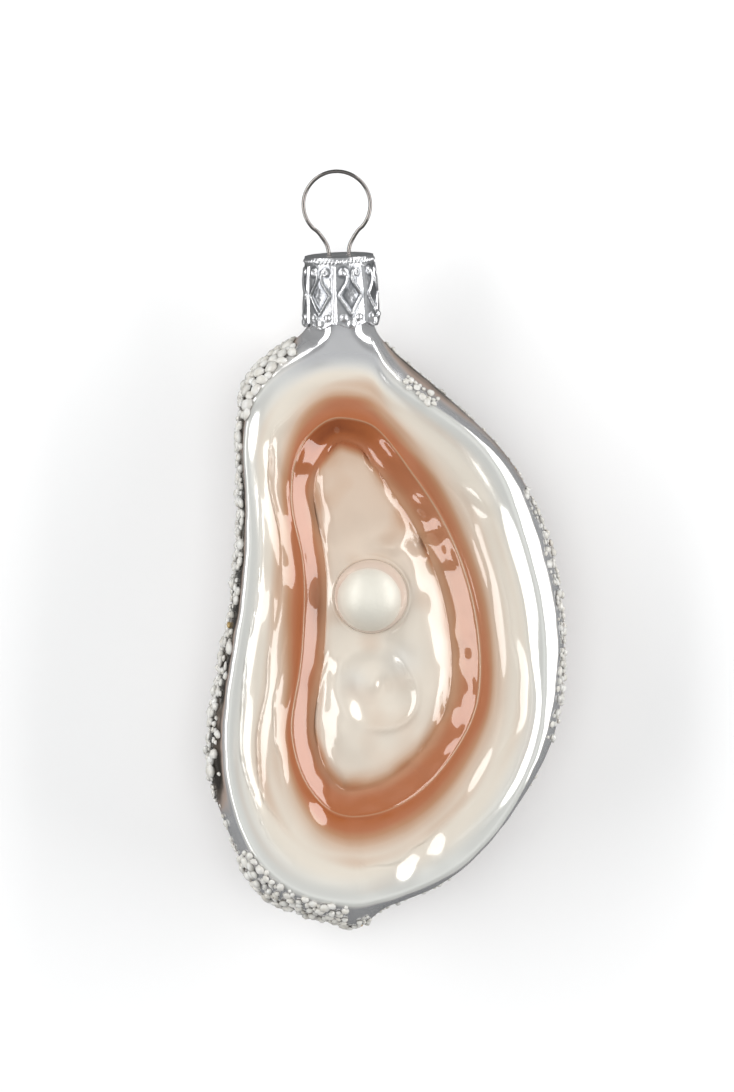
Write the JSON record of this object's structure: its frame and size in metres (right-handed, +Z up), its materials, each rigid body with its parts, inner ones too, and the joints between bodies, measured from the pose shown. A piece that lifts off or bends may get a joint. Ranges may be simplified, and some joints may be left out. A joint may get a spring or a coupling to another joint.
{
  "type": "glass oyster ornament",
  "caption": "Blown-glass tree ornament shaped like an oyster on the half shell with a pearl, its rim rough with glass grains, under a pressed metal cap with a wire loop.",
  "frame": {"origin": "on the resting face of the shell's back, under the middle of the whole ornament's bounding box", "axes": "+Z up, out of the shell's open side; +Y towards the cap and the wire loop; +X to the right when the open side is seen with the cap at the top"},
  "size_m": [0.0572, 0.1212, 0.0241],
  "materials": {
    "silvered_glass": "silvered inside, gloss cream and peach lacquer on the face, satin grey outside",
    "pearl_lacquer": "satin pearl lacquer",
    "bright_tin": "bright pressed sheet",
    "bright_wire": "bright drawn wire"
  },
  "bodies": {
    "root": {"glass_oyster": "silvered_glass", "pearl": "pearl_lacquer", "cap": "bright_tin", "hanger": "bright_wire"}
  },
  "joints": []
}
